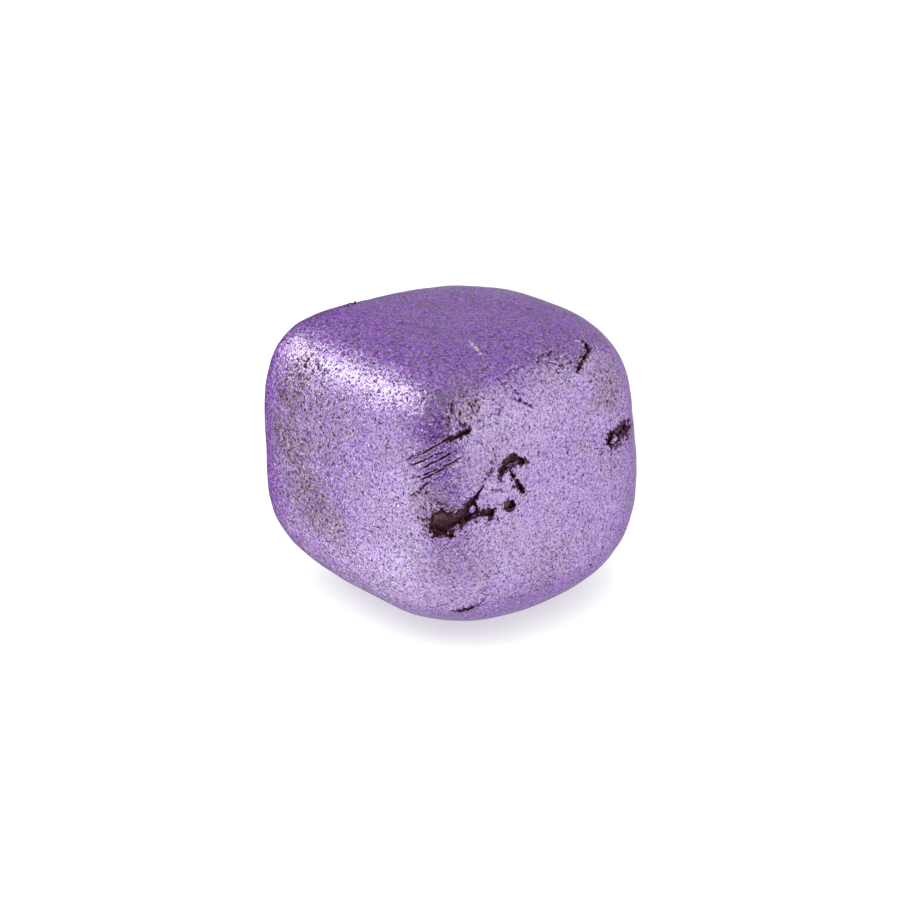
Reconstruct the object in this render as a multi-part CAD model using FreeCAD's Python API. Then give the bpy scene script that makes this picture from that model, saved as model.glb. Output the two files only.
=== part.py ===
"""Hand-pressed rosin cake: a plum compound core inside a thin violet lustre skin.

Axes: +Z up, the front face looks along -Y, the right face along +X.
Origin: the table under the middle of the cake's bounding box. Units: mm, degrees.
"""
import math
import os

import FreeCAD
import Part

# ---- the pressed block ---------------------------------------------------------------
WIDTH = 40.6            # left face to right face, between the flats
DEPTH = 44.0            # front face to back face, between the flats
HEIGHT = 38.2           # table to the crown
WAIST = 0.435           # height of the fullest section, as a share of HEIGHT
SQUARENESS = 6.75       # how sharply the faces meet in plan: 2 is round, more is squarer
TOP_SQUARENESS = 4.5    # the same for the shoulder round the top
FOOT_SQUARENESS = 2.6   # and for the rounder edge round the foot
FOOT_SINK = 1.2         # how far the rounded foot is pressed flat against the table
TAPER = -0.096          # how much wider the crown is than the foot; below 0 it is narrower
LEAN_X = -0.047         # sideways lean of the block for each mm of height
LEAN_Y = -0.047
CROWN_SLOPE_X = -0.020  # slope of the crown
CROWN_SLOPE_Y = -0.018

# The four faces and the four upright edges in plan: which way each looks, how far its
# flat lies from the axis, and how much further out it lies at the crown (and as much
# further in at the foot).
FACES = (
    # bearing, distance, gain at the crown
    (0.0, WIDTH / 2, 0.0),
    (90.0, DEPTH / 2, 0.0),
    (180.0, WIDTH / 2, 0.0),
    (270.0, DEPTH / 2, 0.0),
    (45.0, 24.5, 1.7),
    (135.0, 23.7, -0.8),
    (225.0, 35.5, -0.9),
    (315.0, 27.3, 4.0),
)

SKIN = 0.5              # thickness of the lustre skin
BEARINGS = 72           # points round each section
FOOT_SECTIONS = 9       # sections from the table to the waist
TOP_SECTIONS = 11       # sections from the waist to the crown
FOOT_SPACING = 1.3      # above 1 the sections under the waist crowd towards it
TOP_SPACING = 0.8       # below 1 the sections over the waist crowd towards the crown
CROWN_REACH = 0.36      # the flat of the crown, as a share of the full section

# ---- breaks in the skin --------------------------------------------------------------
# Each break is looked at square on: `at` is its middle on the block, `bearing` and
# `tilt` say which way the surface faces there, and the outline is given to the right
# and upwards from that middle.
BREAK_DEPTH = 2.2       # how far behind `at` the cutting prism starts
BREAK_LENGTH = 4.0      # how far it runs outwards from there

LONG_CHIP = dict(
    at=(17.5, -16.4, 20.3), bearing=-33.0, tilt=0.0,
    outline=(
        (-3.3, 0.0), (-2.8, 1.0), (-2.1, 1.4), (-1.3, 0.9), (-0.6, 0.8), (0.2, 1.5),
        (1.1, 1.3), (1.5, 0.8), (2.3, 1.0), (3.7, 0.9), (4.5, 0.4), (3.8, -0.3),
        (2.9, 0.2), (2.1, 0.3), (1.5, -0.1), (0.7, -0.4), (-0.5, -0.7), (-1.2, -1.0),
        (-0.9, -2.0), (-1.9, -1.7), (-3.0, -1.8), (-3.4, -0.9),
    ),
)
SLASH = dict(
    at=(18.4, -14.8, 22.7), bearing=-20.0, tilt=3.0,
    outline=((1.3, 1.6), (0.7, 0.6), (0.3, -0.1), (0.5, -1.3), (-1.5, -1.2), (-1.1, -0.4), (0.1, 0.7)),
)
HOOK = dict(
    at=(19.1, -9.3, 26.2), bearing=-5.0, tilt=8.0,
    outline=(
        (-1.8, -0.2), (-1.2, 0.6), (-0.6, 0.9), (0.2, 1.2), (0.7, 0.9), (0.5, 0.4),
        (1.1, 0.4), (1.8, 0.0), (2.0, -0.7), (1.4, -0.3), (0.3, -0.4), (-0.7, -0.4),
        (-1.5, -0.9), (-1.9, -1.5), (-2.0, -0.9),
    ),
)
HOOK_ARM = dict(
    at=(19.5, -8.9, 23.7), bearing=-5.0, tilt=6.0,
    outline=(
        (-0.9, 1.7), (-0.3, 1.0), (0.3, 0.1), (1.0, -1.1), (1.6, -2.2), (0.9, -1.8),
        (0.3, -1.1), (-0.4, 0.3),
    ),
)
SPOT = dict(
    at=(19.6, -10.0, 21.0), bearing=-7.0, tilt=4.0,
    outline=((-0.8, 0.5), (-0.2, 0.7), (0.6, 0.5), (0.9, -0.3), (0.3, -0.9), (-0.8, -0.4)),
)
EDGE_CHIP = dict(
    at=(18.4, 10.4, 24.1), bearing=16.0, tilt=7.0,
    outline=(
        (-3.0, 0.6), (-1.3, 0.6), (0.1, 1.0), (2.0, 0.9), (4.0, 0.5), (3.5, -0.4),
        (1.4, -0.7), (-0.2, -1.0), (-2.0, -1.3), (-2.5, -0.5), (-2.9, 0.1),
    ),
)
SHOULDER_CRACK = dict(
    at=(15.2, 6.5, 34.8), bearing=9.0, tilt=47.0,
    outline=((1.7, 1.7), (2.2, 1.5), (2.1, 0.4), (0.5, -0.3), (-2.7, -1.5), (0.1, 0.1), (1.6, 0.6)),
)
CREST_CHIP = dict(
    at=(-12.4, -8.0, 38.0), bearing=-150.0, tilt=75.0,
    outline=((-1.7, -0.7), (-0.8, 0.5), (0.6, 0.9), (1.7, 0.3), (1.4, -0.7), (0.1, -1.0)),
)
FOOT_CRACK = dict(
    at=(16.3, -14.1, 6.7), bearing=-36.0, tilt=-33.0,
    outline=((-1.7, -0.8), (-0.4, 0.1), (1.5, 1.2), (0.2, -0.2)),
)
BREAKS = (
    LONG_CHIP, SLASH, HOOK, HOOK_ARM, SPOT, EDGE_CHIP, SHOULDER_CRACK, CREST_CHIP, FOOT_CRACK,
)

# ---- scratches raked across the front upright edge --------------------------------------
SCRATCH_WIDTH = 0.34    # across the mouth of the wedge that rakes a scratch
SCRATCH_DEPTH = 0.24    # below `at` to the point of the wedge, and above it to the mouth
SCRATCHES = (
    # middle on the block, bearing, tilt, half length, rise in degrees
    ((15.9, -17.3, 30.2), -43.0, 15.0, 3.1, 33.0),
    ((15.0, -18.9, 29.0), -52.0, 10.0, 1.6, 35.0),
    ((15.3, -18.7, 28.4), -49.0, 8.0, 1.9, 30.0),
    ((15.2, -18.5, 27.7), -49.0, 8.0, 2.6, 31.0),
    ((15.9, -18.0, 27.0), -43.0, 7.0, 3.2, 27.0),
    ((15.7, -18.5, 26.2), -48.0, 4.0, 2.0, 31.0),
    ((14.2, -19.8, 24.2), -63.0, 0.0, 1.6, 45.0),
)

# ---- scraps of skin left in the breaks ---------------------------------------------------
SCRAP_LIFT = 7.0        # how far a scrap curls away from the core, degrees
SCRAPS = {
    "skin_tongue": dict(
        at=(18.5, -15.0, 21.6), bearing=-21.0, tilt=2.0, lift=SCRAP_LIFT,
        outline=((-0.4, 0.5), (0.2, 0.4), (0.3, -0.2), (0.0, -0.5), (-0.3, -0.2)),
    ),
    "hook_lip": dict(
        at=(19.2, -9.2, 25.8), bearing=-5.0, tilt=7.0, lift=SCRAP_LIFT,
        outline=((-0.8, 0.0), (-0.5, 0.3), (0.7, 0.2), (1.2, -0.1), (0.2, -0.1)),
    ),
    "edge_islet": dict(
        at=(18.9, 9.3, 23.7), bearing=12.0, tilt=6.0, lift=SCRAP_LIFT,
        outline=((-0.9, 0.5), (0.6, 0.3), (0.7, -0.4), (-0.4, -0.5)),
    ),
    "crest_flake": dict(
        at=(-12.4, -8.2, 38.0), bearing=-150.0, tilt=75.0, lift=2 * SCRAP_LIFT,
        outline=((-0.9, -0.3), (-0.3, 0.3), (0.6, 0.4), (0.8, -0.2), (0.0, -0.5)),
    ),
}


def section_reach(bearing, level, inset):
    """Distance from the axis to the block, before taper; level runs -1 foot to 1 crown."""
    total = 0.0
    for face_bearing, distance, gain in FACES:
        facing = math.cos(math.radians(bearing - face_bearing))
        if facing > 0.0:
            total += (facing / (distance + gain * level - inset)) ** SQUARENESS
    return total ** (-1.0 / SQUARENESS)


def section_point(bearing, height, share, inset):
    """A point of the block on the section at `height`, pulled in to `share` of full size."""
    level = 2.0 * height / HEIGHT - 1.0
    reach = section_reach(bearing, level, inset) * share * (1.0 + TAPER * level / 2.0)
    x = reach * math.cos(math.radians(bearing))
    y = reach * math.sin(math.radians(bearing))
    rise = height / HEIGHT * (CROWN_SLOPE_X * x + CROWN_SLOPE_Y * y)
    lean = height - HEIGHT / 2.0
    return FreeCAD.Vector(x + LEAN_X * lean, y + LEAN_Y * lean, height + rise)


def profile(inset):
    """(height, share) of every section, from the foot, `inset` above the table, to the crown."""
    waist = WAIST * HEIGHT
    above = HEIGHT - waist - inset
    below = waist + FOOT_SINK - inset
    foot_angle = math.asin(((waist - inset) / below) ** (FOOT_SQUARENESS / 2.0))
    top_angle = math.acos(CROWN_REACH ** (TOP_SQUARENESS / 2.0))
    sections = []
    for i in range(FOOT_SECTIONS):
        angle = foot_angle * (1.0 - i / FOOT_SECTIONS) ** FOOT_SPACING
        height = waist - below * math.sin(angle) ** (2.0 / FOOT_SQUARENESS)
        sections.append((height, math.cos(angle) ** (2.0 / FOOT_SQUARENESS)))
    for i in range(TOP_SECTIONS + 1):
        angle = top_angle * (i / TOP_SECTIONS) ** TOP_SPACING
        height = waist + above * math.sin(angle) ** (2.0 / TOP_SQUARENESS)
        sections.append((height, math.cos(angle) ** (2.0 / TOP_SQUARENESS)))
    return sections


def section_wire(height, share, inset):
    """The closed smooth outline of one section."""
    points = []
    for i in range(BEARINGS):
        points.append(section_point(360.0 * i / BEARINGS, height, share, inset))
    knots = [i / BEARINGS for i in range(BEARINGS + 1)]
    curve = Part.BSplineCurve()
    curve.interpolate(Points=points, PeriodicFlag=True, Parameters=knots)
    return Part.Wire([curve.toShape()])


def block(inset):
    """The pressed block, drawn `inset` inside its outer surface."""
    wires = [section_wire(height, share, inset) for height, share in profile(inset)]
    return Part.makeLoft(wires, True, False)


def facing_frame(spot):
    """Placement with x to the right, y up and z outwards over a spot of the surface."""
    bearing = math.radians(spot["bearing"])
    tilt = math.radians(spot["tilt"])
    out = FreeCAD.Vector(
        math.cos(tilt) * math.cos(bearing), math.cos(tilt) * math.sin(bearing), math.sin(tilt)
    )
    right = FreeCAD.Vector(-math.sin(bearing), math.cos(bearing), 0.0)
    up = out.cross(right)
    turn = FreeCAD.Rotation(right, up, out, "ZXY")
    return FreeCAD.Placement(FreeCAD.Vector(*spot["at"]), turn)


def outline_prism(spot):
    """A prism standing through the surface on the outline of a spot."""
    corners = [FreeCAD.Vector(x, y, -BREAK_DEPTH) for x, y in spot["outline"]]
    face = Part.Face(Part.makePolygon(corners + corners[:1]))
    prism = face.extrude(FreeCAD.Vector(0.0, 0.0, BREAK_LENGTH))
    prism.Placement = facing_frame(spot)
    return prism


def scratch_tool(at, bearing, tilt, half_length, rise):
    """A long wedge, point inwards, that rakes one scratch."""
    half = SCRATCH_WIDTH / 2.0
    wedge = Part.makePolygon([
        FreeCAD.Vector(-half_length, 0.0, -SCRATCH_DEPTH),
        FreeCAD.Vector(-half_length, half, SCRATCH_DEPTH),
        FreeCAD.Vector(-half_length, -half, SCRATCH_DEPTH),
        FreeCAD.Vector(-half_length, 0.0, -SCRATCH_DEPTH),
    ])
    tool = Part.Face(wedge).extrude(FreeCAD.Vector(2.0 * half_length, 0.0, 0.0))
    tool.rotate(FreeCAD.Vector(0.0, 0.0, 0.0), FreeCAD.Vector(0.0, 0.0, 1.0), rise)
    spot = dict(at=at, bearing=bearing, tilt=tilt)
    tool.Placement = facing_frame(spot).multiply(tool.Placement)
    return tool


def lustre_skin(outer, core):
    """The skin: the outer block less the core, broken open and scratched."""
    skin = outer.cut(core)
    for spot in BREAKS:
        skin = skin.cut(outline_prism(spot))
    for scratch in SCRATCHES:
        skin = skin.cut(scratch_tool(*scratch))
    return largest_solid(skin)


def scrap(spot, outer, core, skin):
    """A scrap of skin standing in a break, rooted on the core and slightly lifted."""
    piece = outer.common(outline_prism(spot)).cut(core)
    frame = facing_frame(spot)
    right = frame.Rotation.multVec(FreeCAD.Vector(1.0, 0.0, 0.0))
    piece.rotate(frame.Base, right, -spot["lift"])
    return largest_solid(piece.cut(core).cut(skin))


def largest_solid(shape):
    """The biggest solid of a shape, without the crumbs a cut may leave."""
    return max(shape.Solids, key=lambda solid: solid.Volume)


def build():
    """Every piece of the cake by node name, standing on the table over the origin."""
    outer = block(0.0)
    core = block(SKIN)
    skin = lustre_skin(outer, core)
    pieces = {"compound_core": core, "lustre_skin": skin}
    for name, spot in SCRAPS.items():
        pieces[name] = scrap(spot, outer, core, skin)
    box = skin.optimalBoundingBox(False, False)
    shift = FreeCAD.Vector(-box.Center.x, -box.Center.y, -box.ZMin)
    for piece in pieces.values():
        piece.translate(shift)
    return pieces


def main():
    """Write one STEP file for each piece."""
    os.makedirs("parts", exist_ok=True)
    for name, shape in build().items():
        shape.exportStep(os.path.join("parts", name + ".step"))


main()
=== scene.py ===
import math

import bmesh
import bpy
import numpy as np
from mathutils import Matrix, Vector, noise
from mathutils.bvhtree import BVHTree


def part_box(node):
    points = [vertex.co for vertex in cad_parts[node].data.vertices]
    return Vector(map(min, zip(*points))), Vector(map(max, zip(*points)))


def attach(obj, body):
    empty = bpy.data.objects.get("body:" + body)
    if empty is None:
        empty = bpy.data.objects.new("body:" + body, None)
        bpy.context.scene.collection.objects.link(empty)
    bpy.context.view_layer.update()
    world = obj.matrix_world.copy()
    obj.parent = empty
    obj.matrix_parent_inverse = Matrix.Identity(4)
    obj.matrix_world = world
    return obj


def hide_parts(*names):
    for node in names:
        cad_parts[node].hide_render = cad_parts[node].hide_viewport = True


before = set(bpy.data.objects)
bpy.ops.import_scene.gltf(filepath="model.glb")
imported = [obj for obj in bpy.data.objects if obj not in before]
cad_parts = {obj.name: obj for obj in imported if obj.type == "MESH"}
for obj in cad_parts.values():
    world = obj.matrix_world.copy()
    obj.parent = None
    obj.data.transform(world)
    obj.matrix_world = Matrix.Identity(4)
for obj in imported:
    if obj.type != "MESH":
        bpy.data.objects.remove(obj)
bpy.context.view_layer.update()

# The looks of the pressed rosin cake. Lengths are in millimetres until a mesh is made.
MM = 0.001

FAR_OFF = 99.0                # a distance that stands for nowhere near

# ---- driving values ------------------------------------------------------------------
SKIN = 0.5                    # thickness of the lustre skin
CENTRE = np.array([0.0, 0.0, 19.0])     # inside the core: the rays that find it start here
LUMP_SIZE = 9.0               # finger-sized lumps left by pressing
LUMP_HEIGHT = 0.28
DIMPLE_SIZE = 2.6
DIMPLE_HEIGHT = 0.07
GRIT_SIZE = 0.9
GRIT_HEIGHT = 0.03
FOOT_HOLD = 1.2               # the foot's flat gives way to the lumps over this height
CURL = 0.10                   # how far the skin curls up at a break, give or take CURL_SWING
CURL_SWING = 0.16
CURL_SIZE = 0.8
CURL_REACH = 0.25             # how far from the break the curl dies away
CORE_SINK = 0.05              # how far the core stays under the skin, and sinks again in a break
CORE_LUMPS = 0.16             # the core's broken surface, under a break: lumps
CORE_LUMP_SIZE = 0.7
CORE_CRUMBS = 0.1             # and crumbs
CORE_CRUMB_SIZE = 0.3
CORE_FADE = 0.4               # it fades out over this distance under the skin

# How fine the mesh is: the longest edge on each part of the surface.
BALL_CUTS = 5                 # subdivisions of the ball that the mesh starts from
MOST_HALVINGS = 9
COARSE_EDGE = 0.95            # on the plain faces
HIDDEN_EDGE = 1.3             # on the back and the foot
NEAR_EDGE = 0.3               # close to a crack
FINE_EDGE = 0.17              # at the edge of a break
SCRATCH_EDGE = 0.12           # in a crack or a scratch
CORE_EDGE = 3.0               # on the core, where the skin hides it
NEAR_REACH = 0.6              # how far from a crack NEAR_EDGE holds
FINE_REACH = 0.45             # how far from a break FINE_EDGE holds
CORE_REACH = 0.3              # and how far under the skin it goes on over the core
HIDDEN_X = -8.0               # the back: left of this and behind HIDDEN_Y
HIDDEN_Y = -10.0
HIDDEN_Z = 3.0                # the foot: below this
SCRATCH_SHOWS = 0.06          # a scratch stronger than this gets SCRATCH_EDGE
CRACK_SHOWS = 0.02            # and so does a crack deeper or higher than this, in mm


# ---- places on the cake ----------------------------------------------------------------
def facing_axes(bearing, tilt):
    """Rows: right, up and outwards, for a surface that faces this way."""
    b = math.radians(bearing)
    t = math.radians(tilt)
    out = np.array([math.cos(t) * math.cos(b), math.cos(t) * math.sin(b), math.sin(t)])
    right = np.array([-math.sin(b), math.cos(b), 0.0])
    return np.array([right, np.cross(out, right), out])


class Spot:
    """A place on the skin, looked at square on: x to the right, y up, z outwards.

    A break also has its outline here, and how far its edge strays from that.
    """

    def __init__(self, at, bearing, tilt, outline=(), ragged=0.4):
        self.at = np.array(at)
        self.axes = facing_axes(bearing, tilt)
        self.outline = np.array(outline, float)
        self.ragged = ragged

    def local(self, points):
        """Points on the cake, as seen from here."""
        return (points - self.at) @ self.axes.T

    def world(self, local):
        """Points seen from here, as points on the cake."""
        return np.asarray(local) @ self.axes + self.at


# Breaks in the skin: where each one is, its outline there, and how ragged its edge is.
BREAKS = {
    "long_chip": Spot((17.3, -16.5, 20.3), -33.0, 0.0, (
        (-3.3, 0.0), (-2.8, 1.0), (-2.1, 1.4), (-1.3, 0.9), (-0.6, 0.8), (0.2, 1.5),
        (1.1, 1.3), (1.5, 0.8), (2.3, 1.0), (3.7, 0.9), (4.5, 0.4), (3.8, -0.3),
        (2.9, 0.2), (2.1, 0.3), (1.5, -0.1), (0.7, -0.4), (-0.5, -0.7), (-1.2, -1.0),
        (-0.9, -2.0), (-1.9, -1.7), (-3.0, -1.8), (-3.4, -0.9)), 0.80),
    "slash": Spot((18.2, -14.9, 22.7), -20.0, 3.0, (
        (1.3, 1.6), (0.7, 0.6), (0.3, -0.1), (0.5, -1.3), (-1.5, -1.2), (-1.1, -0.4),
        (0.1, 0.7)), 0.10),
    "hook": Spot((18.9, -9.4, 26.2), -5.0, 8.0, (
        (-1.8, -0.2), (-1.2, 0.6), (-0.6, 0.9), (0.2, 1.2), (0.7, 0.9), (0.5, 0.4),
        (1.1, 0.4), (1.8, 0.0), (2.0, -0.7), (1.4, -0.3), (0.3, -0.4), (-0.7, -0.4),
        (-1.5, -0.9), (-1.9, -1.5), (-2.0, -0.9)), 0.42),
    "hook_arm": Spot((19.3, -9.0, 23.7), -5.0, 6.0, (
        (-0.9, 1.7), (-0.3, 1.0), (0.3, 0.1), (1.0, -1.1), (1.6, -2.2), (0.9, -1.8),
        (0.3, -1.1), (-0.4, 0.3)), 0.25),
    "spot": Spot((19.4, -10.1, 21.0), -7.0, 4.0, (
        (-0.8, 0.5), (-0.2, 0.7), (0.6, 0.5), (0.9, -0.3), (0.3, -0.9), (-0.8, -0.4)), 0.35),
    "edge_chip": Spot((18.2, 10.3, 24.1), 16.0, 7.0, (
        (-3.0, 0.6), (-1.3, 0.6), (0.1, 1.0), (2.0, 0.9), (4.0, 0.5), (3.5, -0.4),
        (1.4, -0.7), (-0.2, -1.0), (-2.0, -1.3), (-2.5, -0.5), (-2.9, 0.1)), 1.9),
    "shoulder_crack": Spot((15.0, 6.4, 34.8), 9.0, 47.0, (
        (1.7, 1.7), (2.2, 1.5), (2.1, 0.4), (0.5, -0.3), (-2.7, -1.5), (0.1, 0.1),
        (1.6, 0.6)), 0.35),
    "crest_chip": Spot((-12.6, -8.1, 38.0), -150.0, 75.0, (
        (-1.7, -0.7), (-0.8, 0.5), (0.6, 0.9), (1.7, 0.3), (1.4, -0.7), (0.1, -1.0))),
    "foot_crack": Spot((16.1, -14.2, 6.7), -36.0, -33.0, (
        (-1.7, -0.8), (-0.4, 0.1), (1.5, 1.2), (0.2, -0.2)), 0.08),
    "rake_end": Spot((16.6, -15.9, 31.2), -38.0, 25.0, (
        (-1.3, -0.75), (1.4, 0.55), (1.5, 0.3), (-0.9, -0.95)), 0.22),
}

# Cracks and wrinkles: a place, the run of the line there, its width and depth, and how
# high the skin is ruffled beside it. A wrinkle has no depth, only a ridge.
CRACKS = (
    (Spot((15.0, 6.4, 34.8), 9.0, 47.0),
     ((1.9, 1.9), (1.9, 0.5), (0.4, -0.2), (-1.2, -0.7), (-2.6, -1.6)), 0.4, 0.22, 0.10),
    (Spot((15.0, 6.4, 34.8), 9.0, 47.0),
     ((2.9, 2.4), (1.6, 1.6), (0.4, 2.2)), 0.34, 0.16, 0.10),
    (Spot((15.6, 1.8, 34.9), 3.0, 46.0),
     ((-1.6, 1.3), (-0.9, 0.9), (-0.1, 0.4), (0.7, -0.9)), 0.4, 0.2, 0.06),
    (Spot((14.0, 1.2, 36.0), 3.0, 60.0),
     ((-2.2, -0.6), (-1.4, 0.3), (-0.7, 0.5), (0.3, 0.1), (1.4, 0.5)), 0.5, 0.2, 0.06),
    (Spot((15.2, 2.9, 35.2), 5.0, 50.0),
     ((-1.2, 0.9), (0.2, 0.3), (1.4, 0.9)), 0.4, 0.18, 0.06),
    (Spot((14.6, -4.6, 36.2), -5.0, 55.0),
     ((-1.8, -0.5), (-0.6, 0.1), (0.9, 0.2)), 0.34, 0.16, 0.08),
    (Spot((16.2, -6.7, 35.0), -6.0, 42.0),
     ((-1.6, 1.6), (-0.6, 0.5), (0.1, -0.4), (0.7, -1.5)), 0.3, 0.16, 0.08),
    (Spot((17.3, -6.0, 33.0), -5.0, 32.0),
     ((-1.1, 0.8), (-0.3, 0.0), (0.5, -0.4), (1.2, -1.2)), 0.6, 0.2, 0.08),
    (Spot((16.9, -9.9, 33.2), -14.0, 30.0),
     ((-0.3, 1.0), (0.1, 0.1), (0.1, -1.1)), 0.34, 0.16, 0.05),
    (Spot((16.0, -14.4, 33.4), -32.0, 32.0),
     ((-1.3, 1.2), (-1.6, 0.0), (-1.0, -1.3), (0.2, -1.6)), 0.6, 0.17, 0.07),
    (Spot((16.0, -14.4, 33.4), -32.0, 32.0),
     ((0.3, 1.3), (1.2, 0.6), (1.3, -0.5)), 0.34, 0.15, 0.05),
    (Spot((19.2, -11.6, 22.8), -12.0, 4.0),
     ((-1.2, 0.7), (-0.3, 0.4), (0.5, 0.2)), 0.26, 0.15, 0.04),
    (Spot((18.8, -12.3, 26.0), -12.0, 6.0),
     ((-1.1, -0.9), (-0.4, -0.2), (0.1, 0.3), (0.0, 1.0)), 0.6, 0.2, 0.05),
    (Spot((19.4, -5.2, 25.6), -4.0, 8.0),
     ((0.1, 1.5), (0.0, 0.3), (-0.1, -0.6)), 0.26, 0.14, 0.03),
    (Spot((16.4, -17.5, 18.5), -40.0, -2.0),
     ((-3.0, 0.4), (-1.6, 0.1), (-0.4, -0.1), (0.8, -0.4)), 0.34, 0.16, 0.05),
    (Spot((16.2, -14.2, 6.9), -36.0, -33.0),
     ((-2.0, -1.0), (-0.5, 0.0), (0.9, 0.7), (2.2, 1.5)), 0.44, 0.22, 0.06),
    (Spot((19.2, 4.8, 7.0), 10.0, -25.0),
     ((-1.0, 0.8), (0.0, 0.3), (0.8, -0.6)), 0.5, 0.2, 0.05),
    (Spot((-8.0, -20.2, 33.4), -95.0, 25.0),
     ((0.2, 2.2), (0.0, 0.8), (0.3, -0.5), (-0.2, -2.1), (0.1, -3.4)), 0.6, 0.2, 0.08),
    (Spot((-5.2, -19.8, 34.0), -92.0, 33.0),
     ((-0.8, 1.0), (0.1, 0.1), (1.2, -0.3), (2.1, 0.4)), 0.5, 0.17, 0.05),
    (Spot((-3.4, -21.0, 30.6), -92.0, 14.0),
     ((-0.8, 0.7), (0.3, 0.0), (1.0, -0.9)), 0.5, 0.17, 0.05),
    (Spot((-12.4, -8.0, 38.0), -150.0, 80.0),
     ((-3.2, 0.2), (-1.6, 0.5), (1.6, 0.4), (3.0, -0.2)), 0.34, 0.16, 0.08),
    (Spot((-19.6, 4.0, 24.0), 178.0, 4.0),
     ((-3.0, -0.5), (-1.2, 0.4), (0.6, 0.2), (2.4, 1.1)), 0.4, 0.2, 0.06),
    (Spot((-6.0, 21.6, 27.0), 95.0, 6.0),
     ((-2.0, 1.8), (-0.6, 0.5), (0.8, -0.2), (1.6, -1.9)), 0.4, 0.2, 0.06),
    (Spot((9.6, -6.9, 38.0), -35.0, 86.0),
     ((-0.5, 2.3), (-0.3, 1.1), (0.1, -0.4), (0.5, -1.7), (1.4, -3.2)), 0.40, 0.0, 0.30),
    (Spot((9.6, -6.9, 38.0), -35.0, 86.0),
     ((-4.6, -0.9), (-3.2, -1.2), (-1.9, -0.8)), 0.26, 0.0, 0.10),
    (Spot((7.0, 1.6, 38.0), 0.0, 88.0),
     ((-2.0, 0.3), (-0.6, -0.2), (1.1, 0.2)), 0.26, 0.0, 0.10),
    (Spot((2.0, 8.0, 38.0), 90.0, 88.0),
     ((-2.4, -0.4), (-0.8, 0.3), (1.0, 0.0), (2.6, 0.8)), 0.26, 0.0, 0.10),
    (Spot((-3.0, -9.0, 38.0), -90.0, 88.0),
     ((-1.8, 0.5), (-0.4, 0.1), (1.5, 0.6)), 0.26, 0.0, 0.10),
)

# Scratches raked across the front upright edge: place, half length, rise in degrees.
SCRATCHES = (
    (Spot((15.3, -17.8, 30.0), -46.0, 15.0), 3.7, 33.0),
    (Spot((14.6, -19.1, 29.2), -52.0, 10.0), 2.7, 33.0),
    (Spot((14.8, -18.9, 28.4), -50.0, 8.0), 3.3, 29.0),
    (Spot((15.3, -18.5, 27.9), -47.0, 8.0), 2.6, 31.0),
    (Spot((15.5, -18.3, 27.0), -45.0, 7.0), 4.0, 26.0),
    (Spot((15.2, -18.8, 26.3), -49.0, 4.0), 2.9, 29.0),
    (Spot((14.1, -19.8, 24.3), -62.0, 0.0), 2.3, 42.0),
    (Spot((13.2, -20.0, 28.4), -63.0, 5.0), 1.4, 36.0),
    (Spot((16.5, -17.2, 28.9), -40.0, 8.0), 1.3, 27.0),
)
BREAK_MARGIN = 2.0            # how far past its outline a break is worked out
TEAR_SIZE = 0.8               # size of the tears along its edge
NICK_SIZE = 0.42              # and of the nicks in them
FRAY_REACH = 0.22             # how far the skin is frayed beside a break
SCRATCH_MARGIN = 1.0
SCRATCH_WIDTH = 0.22
SCRATCH_DEPTH = 0.24
SCRATCH_WANDER = 0.12         # how far a scratch strays from a straight line
SCRATCH_GAPS = 0.6            # size of the gaps where it skips
BURR_HEIGHT = 0.09            # the burrs thrown up along both sides of a scratch
BURR_OFF = 0.24               # their distance from its middle
BURR_SHIFT = 0.06             # and how much nearer one of them lies
BURR_WIDTH = 0.08
BURR_GLINTS = 0.45            # size of the pieces that the burrs are broken into
CRACK_MARGIN = 1.5
CRACK_SWAY = 0.35             # how far a crack strays from its line
CRACK_SWAY_SIZE = 0.7
CRACK_GAPS = 0.42             # size of the gaps where it closes up
RUFFLE_GAPS = 0.6             # and of those in its ruffle


# ---- numbers on points -------------------------------------------------------------------
def noise_at(points, size, seed=0.0):
    """Smooth noise, about -1 to 1, with features of this size. The seed picks which one."""
    shift = Vector((seed, -seed * 1.7, seed * 0.6))
    return np.array([noise.noise(Vector(p) / size + shift) for p in points])


def outline_distance(xy, outline):
    """Distance to a closed outline, negative inside it."""
    ends = np.roll(outline, -1, 0)
    edge = ends - outline
    rel = xy[:, None] - outline
    along = np.clip((rel * edge).sum(-1) / (edge * edge).sum(-1), 0.0, 1.0)
    near = np.linalg.norm(rel - along[..., None] * edge, axis=-1).min(1)
    above = outline[:, 1] > xy[:, 1:2]
    crosses = above != (ends[:, 1] > xy[:, 1:2])
    rise = np.where(edge[:, 1] == 0.0, 1e-9, edge[:, 1])
    at_x = outline[:, 0] + edge[:, 0] * (xy[:, 1:2] - outline[:, 1]) / rise
    inside = (crosses & (xy[:, :1] < at_x)).sum(1) % 2 == 1
    return np.where(inside, -near, near)


def break_distance(points):
    """Distance to the ragged edge of the nearest break, negative inside one."""
    return break_fields(points)[0]


def break_fields(points):
    """Distance to the nearest ragged break edge, and how frayed the skin is beside it."""
    best = np.full(len(points), FAR_OFF)
    fray = np.zeros(len(points))
    for spot in BREAKS.values():
        local = spot.local(points)
        reach = np.abs(spot.outline).max() + BREAK_MARGIN
        close = np.flatnonzero(np.linalg.norm(local, axis=1) < reach)
        if len(close) == 0:
            continue
        here = points[close]
        distance = outline_distance(local[close, :2], spot.outline)
        rough = 0.7 * noise_at(here, TEAR_SIZE, 3.0) + 0.9 * noise_at(here, NICK_SIZE, 8.0)
        best[close] = np.minimum(best[close], distance + rough * spot.ragged)
        # The skin frays further below a break than above it.
        below = np.clip(0.5 - local[close, 1], 0.0, 1.0)
        fray_reach = FRAY_REACH + 0.5 * below * spot.ragged
        near = np.exp(-np.clip(distance, 0.0, None) / fray_reach)
        fray[close] = np.maximum(fray[close], near)
    return best, fray


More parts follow.
